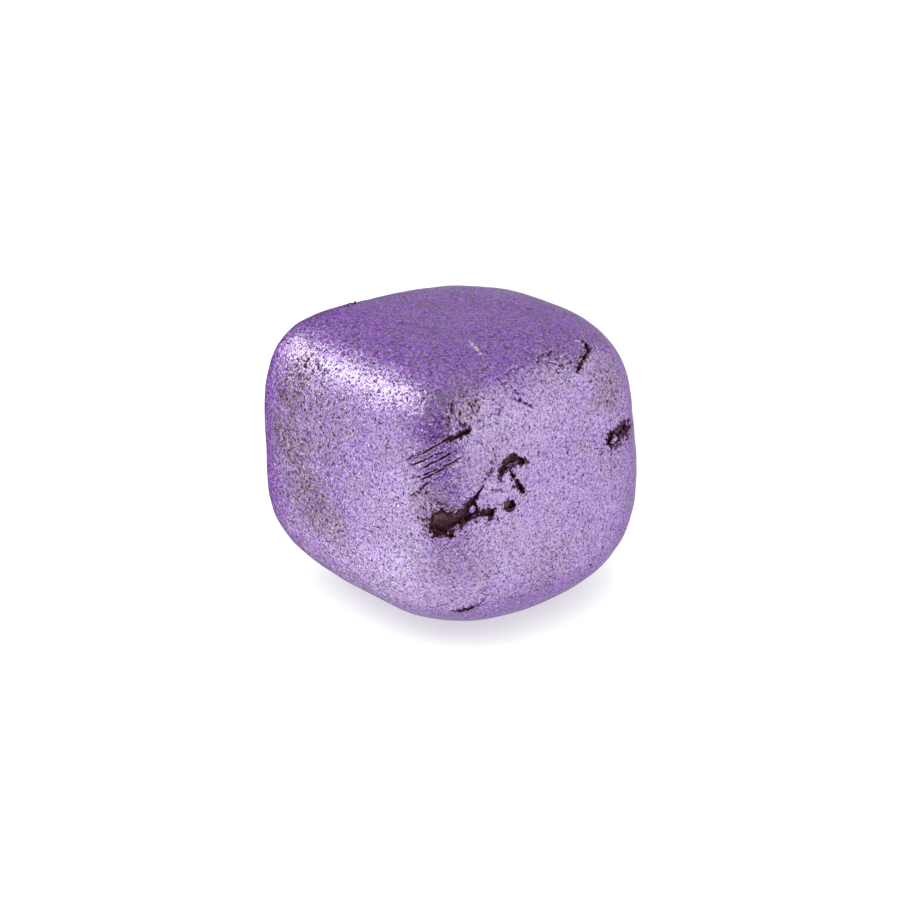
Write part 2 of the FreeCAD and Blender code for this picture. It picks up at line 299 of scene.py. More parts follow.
def scratch_depths(points):
    """How deep each point lies in a scratch and how high on a burr, as shares of the most."""
    groove = np.zeros(len(points))
    burr = np.zeros(len(points))
    for number, (spot, half_length, rise) in enumerate(SCRATCHES):
        local = spot.local(points)
        close = np.flatnonzero(np.linalg.norm(local, axis=1) < half_length + SCRATCH_MARGIN)
        if len(close) == 0:
            continue
        r = math.radians(rise)
        along = local[close, 0] * math.cos(r) + local[close, 1] * math.sin(r)
        across = -local[close, 0] * math.sin(r) + local[close, 1] * math.cos(r)
        here = points[close]
        across = across + SCRATCH_WANDER * noise_at(here, 1.1, 20.0 + number)
        fade = np.clip(1.25 * (1.0 - (along / half_length) ** 2), 0.0, 1.0)
        broken = np.clip(0.75 + 0.9 * noise_at(here, SCRATCH_GAPS, 31.0 + number), 0.0, 1.0)
        width = SCRATCH_WIDTH * (0.5 + 0.5 * fade)
        cut = np.exp(-(across / width * 1.9) ** 2) * fade * broken
        glinting = np.clip(1.4 * noise_at(here, BURR_GLINTS, 43.0 + number), 0.0, 1.0)
        beside = (np.abs(across + BURR_SHIFT) - BURR_OFF) / BURR_WIDTH
        ridge = np.exp(-beside ** 2) * fade * broken * glinting
        groove[close] = np.maximum(groove[close], cut)
        burr[close] = np.maximum(burr[close], ridge)
    return groove, burr


def line_distance(xy, line):
    """Distance to an open line, and how far along it the nearest point lies, 0 to 1."""
    start = line[:-1]
    edge = line[1:] - start
    rel = xy[:, None] - start
    along = np.clip((rel * edge).sum(-1) / (edge * edge).sum(-1), 0.0, 1.0)
    off = np.linalg.norm(rel - along[..., None] * edge, axis=-1)
    best = off.argmin(1)
    rows = np.arange(len(xy))
    return off[rows, best], (best + along[rows, best]) / len(edge)


def crack_depths(points):
    """How deep each point lies in a crack, how high on its ruffle, and how far off it is."""
    groove = np.zeros(len(points))
    ruffle = np.zeros(len(points))
    far = np.full(len(points), FAR_OFF)
    for spot, line, width, depth, height in CRACKS:
        line = np.array(line)
        local = spot.local(points)
        reach = np.abs(line).max() + CRACK_MARGIN
        close = np.flatnonzero(np.linalg.norm(local, axis=1) < reach)
        if len(close) == 0:
            continue
        here = points[close]
        sway_x = CRACK_SWAY * noise_at(here, CRACK_SWAY_SIZE, 41.0)
        sway_y = CRACK_SWAY * noise_at(here, CRACK_SWAY_SIZE, 47.0)
        off, along = line_distance(local[close, :2] + np.c_[sway_x, sway_y], line)
        far[close] = np.minimum(far[close], off)
        taper = np.clip(4.0 * along * (1.0 - along), 0.0, 1.0) ** 0.5
        patchy = np.clip(0.55 + 2.4 * noise_at(here, CRACK_GAPS, 53.0), 0.0, 1.0)
        cut = np.exp(-(off / (0.5 * width * (0.4 + 0.6 * taper))) ** 2) * patchy
        groove[close] = np.maximum(groove[close], cut * depth)
        ridge_at = 0.9 * width if depth else 0.0
        ridge = np.exp(-((off - ridge_at) / (0.45 * width)) ** 2) * taper
        ridge *= np.clip(0.6 + 1.6 * noise_at(here, RUFFLE_GAPS, 59.0), 0.0, 1.2)
        ruffle[close] = np.maximum(ruffle[close], ridge * height)
    return groove, ruffle, far


RUB_WANDER = 0.5              # how uneven the rim of a rubbed patch is, as a share of its reach
RUB_WANDER_SIZE = 2.2

# Soft patches where the skin is rubbed back.
RUBS = (
    # place, reach, strength
    ((-9.0, -19.5, 30.0), 4.5, 1.0),
    ((-9.5, -20.4, 24.0), 5.0, 1.0),
    ((-6.5, -21.2, 18.0), 5.0, 1.0),
    ((-2.0, -21.6, 15.5), 5.0, 1.0),
    ((-3.0, -21.4, 28.0), 6.0, 0.6),
    ((-8.0, -20.2, 33.2), 3.5, 1.0),
    ((15.5, -14.2, 33.6), 3.2, 1.0),
    ((16.0, 2.0, 35.0), 4.0, 0.5),
    ((18.5, -11.5, 29.5), 3.2, 0.5),
    ((15.2, -18.6, 21.5), 3.4, 1.0),
    ((19.5, -4.0, 11.0), 4.5, 0.5),
    ((18.3, 9.5, 31.0), 5.0, 0.9),
    ((-18.0, 8.0, 30.0), 6.0, 0.8),
    ((6.0, 21.0, 14.0), 6.0, 0.7),
)


def rubbed_share(points):
    """How much the skin is rubbed back to grey-brown in soft patches."""
    total = np.zeros(len(points))
    wander = 1.0 + RUB_WANDER * noise_at(points, RUB_WANDER_SIZE, 14.0)
    for place, reach, strength in RUBS:
        off = np.linalg.norm(points - place, axis=1) / reach * wander
        total = np.maximum(total, strength * np.clip(1.9 - 1.7 * off, 0.0, 1.0))
    return total


# ---- the closed surface ----------------------------------------------------------------
def node_tree(node):
    """A ray-casting tree of a CAD node, in millimetres."""
    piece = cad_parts[node]
    points = [piece.matrix_world @ v.co / MM for v in piece.data.vertices]
    return BVHTree.FromPolygons(points, [tuple(p.vertices) for p in piece.data.polygons])


core_tree = node_tree("compound_core")


def on_core(directions):
    """The points of the core's surface that lie this way from its centre."""
    start = Vector(CENTRE)
    reach = [core_tree.ray_cast(start, Vector(d))[3] for d in directions]
    return CENTRE + directions * np.array(reach)[:, None]


def unit(vectors):
    """The vectors at length 1."""
    return vectors / np.linalg.norm(vectors, axis=-1, keepdims=True)


def start_ball():
    """Directions and triangles of a coarse ball."""
    bm = bmesh.new()
    bmesh.ops.create_icosphere(bm, subdivisions=BALL_CUTS, radius=1.0)
    directions = unit(np.array([v.co[:] for v in bm.verts]))
    faces = np.array([[v.index for v in f.verts] for f in bm.faces])
    bm.free()
    return directions, faces


def edges_of(faces):
    """Every edge once, and the three edges of each triangle."""
    pairs = np.sort(np.concatenate([faces[:, [0, 1]], faces[:, [1, 2]], faces[:, [2, 0]]]), axis=1)
    edges, index = np.unique(pairs, axis=0, return_inverse=True)
    return edges, index.reshape(3, -1).T


def split_faces(faces, face_edges, middle):
    """Triangles after the edges that have a middle point are cut there."""
    mids = middle[face_edges]
    count = (mids >= 0).sum(1)
    out = [faces[count == 0]]
    for turn in range(3):
        a, b, c = faces[:, turn], faces[:, (turn + 1) % 3], faces[:, (turn + 2) % 3]
        ab, bc, ca = mids[:, turn], mids[:, (turn + 1) % 3], mids[:, (turn + 2) % 3]
        one = (count == 1) & (ab >= 0)
        out += [np.c_[a, ab, c][one], np.c_[ab, b, c][one]]
        two = (count == 2) & (ab < 0)
        out += [np.c_[c, ca, bc][two], np.c_[ca, a, bc][two], np.c_[a, b, bc][two]]
    a, b, c = faces.T
    ab, bc, ca = mids.T
    three = count == 3
    out += [np.c_[a, ab, ca][three], np.c_[ab, b, bc][three], np.c_[ca, bc, c][three]]
    out += [np.c_[ab, bc, ca][three]]
    return np.concatenate(out)


def refined(directions, faces, longest):
    """The core's surface, as a ball whose edges are halved until none is over its longest."""
    points = on_core(directions)
    for _ in range(MOST_HALVINGS):
        edges, face_edges = edges_of(faces)
        ends = points[edges]
        length = np.linalg.norm(ends[:, 0] - ends[:, 1], axis=1)
        cut = np.flatnonzero(length > longest(ends.mean(1)))
        if len(cut) == 0:
            break
        new = unit(directions[edges[cut]].sum(1))
        middle = np.full(len(edges), -1)
        middle[cut] = len(directions) + np.arange(len(cut))
        faces = split_faces(faces, face_edges, middle)
        directions = np.concatenate([directions, new])
        points = np.concatenate([points, on_core(new)])
    return points, faces


def normals_of(points, faces):
    """Outward unit normals at the points."""
    corner = points[faces]
    flat = np.cross(corner[:, 1] - corner[:, 0], corner[:, 2] - corner[:, 0])
    total = np.zeros_like(points)
    for i in range(3):
        np.add.at(total, faces[:, i], flat)
    return unit(total)


def relaxed(values, faces, rounds):
    """Values at the points, each averaged with its neighbours'."""
    edges, _ = edges_of(faces)
    count = np.bincount(edges.ravel(), minlength=len(values))[:, None]
    for _ in range(rounds):
        total = np.zeros_like(values)
        np.add.at(total, edges[:, 0], values[edges[:, 1]])
        np.add.at(total, edges[:, 1], values[edges[:, 0]])
        values = 0.4 * values + 0.6 * total / count
    return values


def skin_edge(points):
    """Longest mesh edge wanted on the skin at these points."""
    back = (points[:, 0] < HIDDEN_X) & (points[:, 1] > HIDDEN_Y)
    foot = points[:, 2] < HIDDEN_Z
    wanted = np.where(back | foot, HIDDEN_EDGE, COARSE_EDGE)
    near = np.abs(break_distance(points)) < FINE_REACH
    groove, burr = scratch_depths(points)
    crack, ruffle, far = crack_depths(points)
    wanted = np.where(near, FINE_EDGE, np.where(far < NEAR_REACH, NEAR_EDGE, wanted))
    cut = (groove + burr > SCRATCH_SHOWS) | (crack + ruffle > CRACK_SHOWS)
    return np.where(cut, SCRATCH_EDGE, wanted)


def core_edge(points):
    """Longest mesh edge wanted on the core: fine only where a break shows it."""
    return np.where(break_distance(points) < CORE_REACH, FINE_EDGE, CORE_EDGE)


def clipped(points, faces, level, extra):
    """The surface where level is positive, cut clean along the line where it is zero."""
    edges, face_edges = edges_of(faces)
    low = level[edges[:, 0]]
    high = level[edges[:, 1]]
    cut = np.flatnonzero(low * high < 0.0)
    share = (low[cut] / (low[cut] - high[cut]))[:, None]

    def between(values):
        return values[edges[cut, 0]] * (1.0 - share) + values[edges[cut, 1]] * share

    middle = np.full(len(edges), -1)
    middle[cut] = len(points) + np.arange(len(cut))
    faces = split_faces(faces, face_edges, middle)
    level = np.concatenate([level, np.zeros(len(cut))])
    points = np.concatenate([points, between(points)])
    extra = {k: np.concatenate([v, between(v)]) for k, v in extra.items()}
    faces = faces[level[faces].sum(1) > 0.0]
    used, flat = np.unique(faces, return_inverse=True)
    return points[used], flat.reshape(-1, 3), {k: v[used] for k, v in extra.items()}


def pressed_lumps(points):
    """Height of the lumps and dimples that pressing by hand leaves."""
    lumps = LUMP_HEIGHT * noise_at(points, LUMP_SIZE, 1.0)
    return lumps + DIMPLE_HEIGHT * noise_at(points, DIMPLE_SIZE, 2.0)


def foot_hold(points):
    """0 on the foot, which stays flat on the table, and 1 above it."""
    return np.clip((points[:, 2] - SKIN - 0.05) / FOOT_HOLD, 0.0, 1.0)


def make_mesh(name, points, faces, values):
    """A smooth-shaded mesh object with named values at its points."""
    mesh = bpy.data.meshes.new(name)
    mesh.vertices.add(len(points))
    mesh.vertices.foreach_set("co", (points * MM).ravel())
    mesh.loops.add(faces.size)
    mesh.loops.foreach_set("vertex_index", faces.ravel())
    mesh.polygons.add(len(faces))
    mesh.polygons.foreach_set("loop_start", np.arange(len(faces)) * 3)
    mesh.update(calc_edges=True)
    mesh.validate()
    for key, value in values.items():
        layer = mesh.attributes.new(key, "FLOAT", "POINT")
        layer.data.foreach_set("value", value[:, 0])
    mesh.shade_smooth()
    piece = bpy.data.objects.new(name, mesh)
    bpy.context.collection.objects.link(piece)
    return piece


def column(values):
    """A list of numbers as one column, one row for each point."""
    return np.asarray(values, float)[:, None]


def shell_faces(faces, count):
    """Both sides of a sheet of `count` points, joined by walls along its open edges."""
    half = np.concatenate([faces[:, [0, 1]], faces[:, [1, 2]], faces[:, [2, 0]]])
    key = half[:, 0].astype(np.int64) * count + half[:, 1]
    back = half[:, 1].astype(np.int64) * count + half[:, 0]
    rim = half[~np.isin(key, back)]
    a, b = rim.T
    walls = np.concatenate([np.c_[b, a, a + count], np.c_[b, a + count, b + count]])
    return np.concatenate([faces, faces[:, ::-1] + count, walls])


def bared(groove, crack):
    """How bare the compound is in a scratch or a crack: only the deeper part shows it."""
    return np.clip(np.maximum(groove * 2.6 - 0.35, crack * 9.0 - 0.5), 0.0, 1.0)


def painted_ridge_highlight(burr, ruffle):
    """How much painted highlight a burr or a ruffle gets: only the higher part counts."""
    return np.clip(burr * 1.5 + ruffle * 7.0 - 0.3, 0.0, 1.0)


def build_skin():
    """The lustre skin: a closed shell round the core, open at the breaks."""
    base, faces = refined(*start_ball(), skin_edge)
    base = relaxed(base, faces, 3)
    normal = normals_of(base, faces)
    hold = foot_hold(base)
    outer = base + normal * SKIN
    distance, fray = break_fields(outer)
    groove, burr = scratch_depths(outer)
    crack, ruffle, _ = crack_depths(outer)
    curl = CURL + CURL_SWING * noise_at(outer, CURL_SIZE, 5.0)
    lift = np.exp(-np.clip(distance, 0.0, None) / CURL_REACH) * curl
    grit = GRIT_HEIGHT * noise_at(outer, GRIT_SIZE, 4.0)
    height = grit + lift - SCRATCH_DEPTH * groove + BURR_HEIGHT * burr - crack + ruffle
    lumps = pressed_lumps(base)
    outer = base + normal * ((lumps * hold + SKIN) + height * hold)[:, None]
    inner = base + normal * (lumps * hold)[:, None]
    extra = {
        "inner": inner,
        "rubbed": column(rubbed_share(outer)),
        "bare": column(bared(groove, crack)),
        # the burr value is the share of painted highlight on burrs and ruffles
        "burr": column(painted_ridge_highlight(burr, ruffle)),
        "edge": column(fray),
    }
    outer, faces, extra = clipped(outer, faces, distance, extra)
    inner = extra.pop("inner")
    count = len(outer)
    points = np.concatenate([outer, inner])
    values = {k: np.concatenate([v, np.zeros_like(v)]) for k, v in extra.items()}
    values["bare"][count:] = 1.0
    return make_mesh("lustre_skin_shell", points, shell_faces(faces, count), values)


def build_core():
    """The compound core, with a broken, grainy surface where the skin is gone."""
    base, faces = refined(*start_ball(), core_edge)
    base = relaxed(base, faces, 1)
    normal = normals_of(base, faces)
    hold = foot_hold(base)
    distance = break_distance(base + normal * SKIN)
    shown = np.clip(CORE_FADE - distance, 0.0, CORE_FADE) / CORE_FADE
    lumps = CORE_LUMPS * noise_at(base, CORE_LUMP_SIZE, 6.0)
    crumbs = CORE_CRUMBS * noise_at(base, CORE_CRUMB_SIZE, 7.0)
    broken = lumps + crumbs - CORE_SINK
    height = pressed_lumps(base) * hold - CORE_SINK + broken * shown
    points = base + normal * height[:, None]
    return make_mesh("compound_block", points, faces, {})


# ---- scraps of skin ----------------------------------------------------------------------
SCRAP_RINGS = 9
SCRAP_SPOKES = 40
SCRAP_TORN = 0.28             # how ragged a scrap's edge is, as a share of its reach
SCRAP_TOP = 0.1               # its upper side and its underside, from its middle
SCRAP_UNDER = -0.22
SCRAP_UNDERCUT = 0.93         # how large the underside is, as a share of the upper side
SCRAP_RIM = 0.44              # its skin is frayed beyond this share of its width


def fan_faces(rings, spokes):
    """Triangles of a disc: one middle point, then rings of points round it."""
    faces = [[0, 1 + i, 1 + (i + 1) % spokes] for i in range(spokes)]
    for ring in range(rings - 1):
        for i in range(spokes):
            a = 1 + ring * spokes + i
            b = 1 + ring * spokes + (i + 1) % spokes
            faces += [[a, a + spokes, b], [b, a + spokes, b + spokes]]
    return np.array(faces)


def build_scrap(node, bearing, tilt, width, height, curl, seed):
    """A torn scrap of skin, curled away from the core, where the CAD node stands."""
    low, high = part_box(node)
    middle = (np.array(low) + np.array(high)) / 2.0 / MM
    spot = Spot(middle, bearing, tilt)
    angle = np.linspace(0.0, 2.0 * np.pi, SCRAP_SPOKES, endpoint=False)
    circle = np.c_[np.cos(angle), np.sin(angle)]
    seeds = np.full(SCRAP_SPOKES, seed)
    torn = 1.0 + SCRAP_TORN * noise_at(np.c_[circle * 1.4, seeds], 1.0, seed)
    rows = [np.zeros((1, 2))]
    for ring in range(1, SCRAP_RINGS + 1):
        rows.append(circle * torn[:, None] * ring / SCRAP_RINGS)
    flat = np.concatenate(rows) * [width / 2.0, height / 2.0]
    count = len(flat)
    bend = curl * (flat[:, 1] / height + 0.5) ** 2
    rough = 0.05 * noise_at(np.c_[flat, np.full(count, seed)], 0.4, seed)
    top = spot.world(np.c_[flat, bend + rough + SCRAP_TOP])
    under = spot.world(np.c_[flat * SCRAP_UNDERCUT, bend + rough + SCRAP_UNDER])
    rim = np.abs(flat / [width, height]).max(1) > SCRAP_RIM
    values = {
        "bare": column(np.r_[np.zeros(count), np.ones(count)]),
        "edge": column(np.r_[rim * 0.5, np.ones(count)]),
    }
    faces = shell_faces(fan_faces(SCRAP_RINGS, SCRAP_SPOKES), count)
    return make_mesh(node + "_scrap", np.concatenate([top, under]), faces, values)


# ---- materials -----------------------------------------------------------------------------
class Nodes:
    """A short way to write a node tree."""

    def __init__(self, tree):
        self.tree = tree

    def add(self, kind, inputs=None, **settings):
        """A new node, with these inputs and settings."""
        node = self.tree.nodes.new(kind)
        for key, value in settings.items():
            setattr(node, key, value)
        for key, value in (inputs or {}).items():
            self.put(node.inputs[key], value)
        return node

    def put(self, socket, value):
        """Link a socket to an output, or set it to a plain value."""
        if isinstance(value, bpy.types.NodeSocket):
            self.tree.links.new(value, socket)
        else:
            socket.default_value = value

    def math(self, operation, a, b=0.0, c=0.0, clamp=False):
        """The result of a sum on single numbers."""
        node = self.add("ShaderNodeMath", operation=operation, use_clamp=clamp)
        for socket, value in zip(node.inputs, (a, b, c)):
            self.put(socket, value)
        return node.outputs[0]

    def vector(self, operation, a, b=(0.0, 0.0, 0.0), scale=1.0):
        """The result of a sum on vectors."""
        node = self.add("ShaderNodeVectorMath", operation=operation)
        self.put(node.inputs[0], a)
        if operation == "SCALE":
            self.put(node.inputs["Scale"], scale)
        else:
            self.put(node.inputs[1], b)
        return node.outputs["Vector"]

    def dot(self, a, b):
        """How far one vector runs along another."""
        node = self.add("ShaderNodeVectorMath", operation="DOT_PRODUCT")
        self.put(node.inputs[0], a)
        self.put(node.inputs[1], b)
        return node.outputs["Value"]

    def mix(self, share, a, b):
        """Colour a where share is 0, and b where it is 1."""
        node = self.add("ShaderNodeMix", data_type="RGBA")
        self.put(node.inputs["Factor"], share)
        self.put(node.inputs[6], a)
        self.put(node.inputs[7], b)
        return node.outputs[2]

    def ramp(self, value, low, high):
        """0 below low and 1 above high, with a straight run between."""
        node = self.add("ShaderNodeMapRange", {"Value": value, "From Min": low, "From Max": high})
        return node.outputs[0]

    def noise(self, at, size_mm, detail=2.0):
        """Smooth noise, 0 to 1, with features of this size."""
        inputs = {"Vector": at, "Scale": 1.0 / (size_mm * MM), "Detail": detail}
        return self.add("ShaderNodeTexNoise", inputs).outputs[0]

    def cells(self, at, size_mm):
        """A pattern of cells of this size, each with a random colour."""
        inputs = {"Vector": at, "Scale": 1.0 / (size_mm * MM)}
        return self.add("ShaderNodeTexVoronoi", inputs)

    def value(self, name):
        """A value that the mesh carries at its points."""
        return self.add("ShaderNodeAttribute", attribute_name=name).outputs["Fac"]

    def place(self):
        """Where the point lies on the piece, in metres."""
        return self.add("ShaderNodeTexCoord").outputs["Object"]

    def moved(self, at, step):
        """The same place a step away, so that a second noise differs from the first."""
        return self.vector("ADD", at, step)

    def swing(self, value):
        """A value from 0 to 1 as one about 0."""
        return self.math("SUBTRACT", value, 0.5)


class MaterialNodes(Nodes):
    """The node tree of a new material."""

    def __init__(self, name):
        self.material = bpy.data.materials.new(name)
        self.material.use_nodes = True
        super().__init__(self.material.node_tree)
        self.shader = self.tree.nodes["Principled BSDF"]


# Colours of the skin.
VIOLET = (0.40, 0.053, 0.88, 1.0)
PAINTED_CREASE_SHADE = (0.15, 0.055, 0.21, 1.0)          # painted shade in the creases and dips
MICA = (0.85, 0.80, 0.93, 1.0)           # silvery flakes
RUBBED = (0.30, 0.20, 0.255, 1.0)
PLUM = (0.12, 0.030, 0.060, 1.0)         # bare compound in pits, cracks and scratches
RIDGE_HIGHLIGHT = (0.95, 0.93, 0.97, 1.0)         # painted highlight on burrs and wrinkles
PEARL_TINT = (0.86, 1.0, 0.74, 1.0)      # its sheen is the pale green opposite of violet
PEARL_IOR = 3.2                          # a mica pearl throws back far more than plain varnish

# Sizes of the skin's patterns.
FLAKE_SIZE = 0.20
FACET_SIZE = 0.20
WARP_SIZE = 0.5                          # waves that spoil the flakes' straight sides
TONE_SIZE = 3.2                          # slow changes of tone
CLUMP_SIZE = 0.34                        # clumps of flakes
CREASE_SIZE = 1.3                        # fine lines of painted shade
DIP_SIZE = 0.30                          # and small dips of painted shade
PATCH_SIZE = 5.0                         # thinly rubbed patches
GRAIN_SIZE = 0.40                        # and the grains in every rubbed patch
PIT_SIZE = 0.5
RELIEF_SIZE = 0.36
RELIEF_HEIGHT = 0.1

FLAKE_LEAN = 0.22                        # how far a flake leans out of the surface
FACET_LEAN = 1.7                         # and how far one of the few stray facets does
STRAY_FACETS = (0.72, 0.76)              # facets with a random number over this are stray
GLINTS = (0.975, 0.985)                  # and those over this are bright glints
TONE_SWING = 0.35                        # how much tone and clumps sway where flakes gather
CLUMP_SWING = 2.6
RUBBED_PITS = 0.08                       # how many more pits there are in a rubbed patch
FRAYED_PITS = 0.26                       # and beside a break

# How much of its own colour each part of the pattern gets, and how metallic it is.
FLAKE_COLOUR = 0.52
CREASE_SHADE_COLOUR = 0.9
RUBBED_COLOUR = 0.9
BURR_HIGHLIGHT_COLOUR = 0.9
FLAKE_METAL = 0.36
GLINT_METAL = 0.9
RUBBED_METAL = 0.8
ROUGHNESS = 0.17                         # of the smoothest flakes
ROUGHNESS_SWING = 0.10                   # and how much rougher the others are
BARE_ROUGHNESS = 0.5                     # and how much rougher bare compound is

# The compound: dark and pale crumbs, with paler clouds over them.
CRUMB_DARK = (0.085, 0.018, 0.040, 1.0)
CRUMB_PALE = (0.21, 0.085, 0.13, 1.0)
CLOUD = (0.33, 0.20, 0.26, 1.0)
CRUMB_SIZE = 0.35
CLOUD_SIZE = 1.4
CRUMB_HEIGHT = 0.15
COMPOUND_IOR = 1.25


def cell_random(n, cells, channel):
    """A random number, 0 to 1, for each cell: one of the channels of its random colour."""
    return n.add("ShaderNodeSeparateColor", {"Color": cells.outputs["Color"]}).outputs[channel]


def flake_share(n, place, flake_random):
    """How silvery each flake is: they gather in clumps, and a little more in some parts."""
    tone = n.math("MULTIPLY", n.swing(n.noise(place, TONE_SIZE, 4.0)), TONE_SWING)
    clumps = n.math("MULTIPLY", n.swing(n.noise(place, CLUMP_SIZE, 3.0)), CLUMP_SWING)
    chance = n.math("ADD", n.math("ADD", tone, clumps), n.swing(flake_random))
    return n.ramp(chance, -0.12, 0.72)


def painted_crease_shade(n, place, flake):
    """Painted shade in fine creases and dips, weaker under the flakes."""
    line = n.math("ABSOLUTE", n.swing(n.noise(place, CREASE_SIZE, 5.0)))
    dip = n.noise(n.moved(place, (0.2, 0.4, 0.1)), DIP_SIZE, 4.0)
    crease_shade = n.math("MAXIMUM", n.ramp(line, 0.012, 0.004), n.ramp(dip, 0.48, 0.37))
    return n.math("MULTIPLY", crease_shade, n.math("MULTIPLY_ADD", flake, -0.7, 0.86))


def rubbed_grain(n, place):
    """Grains of rubbed skin: thick where the mesh says so, and thinner in other patches."""
    patches = n.ramp(n.noise(place, PATCH_SIZE, 5.0), 0.52, 0.70)
    patches = n.math("MAXIMUM", n.math("MULTIPLY", patches, 0.5), n.value("rubbed"))
    grain = n.ramp(n.noise(place, GRAIN_SIZE, 4.0), 0.43, 0.56)
    return n.math("MULTIPLY", patches, grain)


def bare_share(n, place):
    """Where the compound shows: cracks, scratches, and pits that crowd round a break."""
    speck = n.noise(n.moved(place, (0.3, 0.1, 0.2)), PIT_SIZE, 5.0)
    speck = n.math("ADD", speck, n.math("MULTIPLY", n.value("rubbed"), RUBBED_PITS))
    frayed = n.math("MULTIPLY", n.value("edge"), FRAYED_PITS)
    pits = n.ramp(n.math("ADD", speck, frayed), 0.655, 0.70)
    return n.math("MAXIMUM", n.value("bare"), pits, clamp=True)


def skin_relief(n, place, flakes, facets, stray, bare):
    """The leaning flakes, a few stray facets, and the fine relief over them."""
    flake_tilt = n.vector("SUBTRACT", flakes.outputs["Color"], (0.5, 0.5, 0.5))
    facet_tilt = n.vector("SUBTRACT", facets.outputs["Color"], (0.5, 0.5, 0.5))
    facet_tilt = n.vector("SCALE", facet_tilt, scale=n.math("MULTIPLY", stray, FACET_LEAN))
    lean = n.vector("ADD", n.vector("SCALE", flake_tilt, scale=FLAKE_LEAN), facet_tilt)
    normal = n.add("ShaderNodeNewGeometry").outputs["Normal"]
    normal = n.vector("NORMALIZE", n.vector("ADD", normal, lean))
    height = n.noise(place, RELIEF_SIZE, 4.0)
    relief = n.math("SUBTRACT", height, n.math("MULTIPLY", bare, 0.5))
    inputs = {"Height": relief, "Normal": normal, "Strength": 0.9, "Distance": RELIEF_HEIGHT * MM}
    return n.add("ShaderNodeBump", inputs).outputs[0]


def skin_colour(n, flake, glint, crease_shade, rubbed, bare, burr):
    """The colours of the pattern, one over another."""
    colour = n.mix(n.math("MULTIPLY", flake, FLAKE_COLOUR), VIOLET, MICA)
    colour = n.mix(glint, colour, MICA)
    # painted shade: the creases and dips turn dark violet
    colour = n.mix(n.math("MULTIPLY", crease_shade, CREASE_SHADE_COLOUR), colour, PAINTED_CREASE_SHADE)
    colour = n.mix(n.math("MULTIPLY", rubbed, RUBBED_COLOUR), colour, RUBBED)
    colour = n.mix(bare, colour, PLUM)
    # painted highlight: burrs and ruffles turn near-white
    return n.mix(burr, colour, RIDGE_HIGHLIGHT)


def skin_metal(n, flake, glint, crease_shade, rubbed, bare, burr):
    """How metallic the pattern is: as its strongest part there, and less on a burr, where the
    painted highlight shows as plain near-white.
    """
    flake_metal = n.math("MULTIPLY", flake, FLAKE_METAL)
    metal = n.math("MAXIMUM", flake_metal, n.math("MULTIPLY", glint, GLINT_METAL))
    # painted shade: the creases and dips turn metallic, so their dark colour dims the sheen as
    # well
    metal = n.math("MAXIMUM", metal, crease_shade)
    metal = n.math("MAXIMUM", metal, n.math("MULTIPLY", rubbed, RUBBED_METAL))
    return n.math("MULTIPLY", n.math("MAXIMUM", metal, bare), n.math("SUBTRACT", 1.0, burr))


def lustre_material():
    """Violet pigment under a silvery lustre: tilted flakes, creases of painted shade, painted
    highlights on burrs and ruffles, and rubbed patches.
    """
    n = MaterialNodes("violet_lustre")
    place = n.place()
    warp = n.add("ShaderNodeTexNoise", {"Vector": place, "Scale": 1.0 / (WARP_SIZE * MM)})
    wander = n.vector("SUBTRACT", warp.outputs["Color"], (0.5, 0.5, 0.5))
    at = n.vector("ADD", place, n.vector("SCALE", wander, scale=WARP_SIZE * MM))
    flakes = n.cells(at, FLAKE_SIZE)
    facets = n.cells(n.moved(at, (0.1, 0.3, 0.2)), FACET_SIZE)
    flake_random = cell_random(n, flakes, 0)
    facet_random = cell_random(n, facets, 1)
    stray = n.ramp(facet_random, *STRAY_FACETS)
    flake = flake_share(n, place, flake_random)
    bare = bare_share(n, place)
    pattern = {
        "flake": flake,
        "glint": n.ramp(facet_random, *GLINTS),
        "crease_shade": painted_crease_shade(n, place, flake),
        "rubbed": rubbed_grain(n, place),
        "bare": bare,
        # the burr value sets the painted highlight on burrs and ruffles
        "burr": n.math("MULTIPLY", n.value("burr"), BURR_HIGHLIGHT_COLOUR, clamp=True),
    }
    rough = n.math("MULTIPLY_ADD", flake_random, ROUGHNESS_SWING, ROUGHNESS)
    n.put(n.shader.inputs["Base Color"], skin_colour(n, **pattern))
    n.put(n.shader.inputs["Metallic"], skin_metal(n, **pattern))
    n.put(n.shader.inputs["IOR"], PEARL_IOR)
    n.put(n.shader.inputs["Specular Tint"], PEARL_TINT)
    n.put(n.shader.inputs["Roughness"], n.math("MULTIPLY_ADD", bare, BARE_ROUGHNESS, rough))
    n.put(n.shader.inputs["Normal"], skin_relief(n, place, flakes, facets, stray, bare))
    return n.material


def compound_material():
    """Dull plum rosin compound with a crumbly broken surface."""
    n = MaterialNodes("plum_compound")
    place = n.place()
    crumbs = n.noise(place, CRUMB_SIZE, 4.0)
    clouds = n.noise(place, CLOUD_SIZE, 3.0)
    colour = n.mix(n.ramp(crumbs, 0.35, 0.7), CRUMB_DARK, CRUMB_PALE)
    colour = n.mix(n.ramp(clouds, 0.48, 0.72), colour, CLOUD)
    inputs = {"Height": crumbs, "Strength": 0.6, "Distance": CRUMB_HEIGHT * MM}
    n.put(n.shader.inputs["Base Color"], colour)
    n.put(n.shader.inputs["Roughness"], n.ramp(crumbs, -1.2, 1.4))
    n.put(n.shader.inputs["IOR"], COMPOUND_IOR)
    n.put(n.shader.inputs["Normal"], n.add("ShaderNodeBump", inputs).outputs[0])
    return n.material


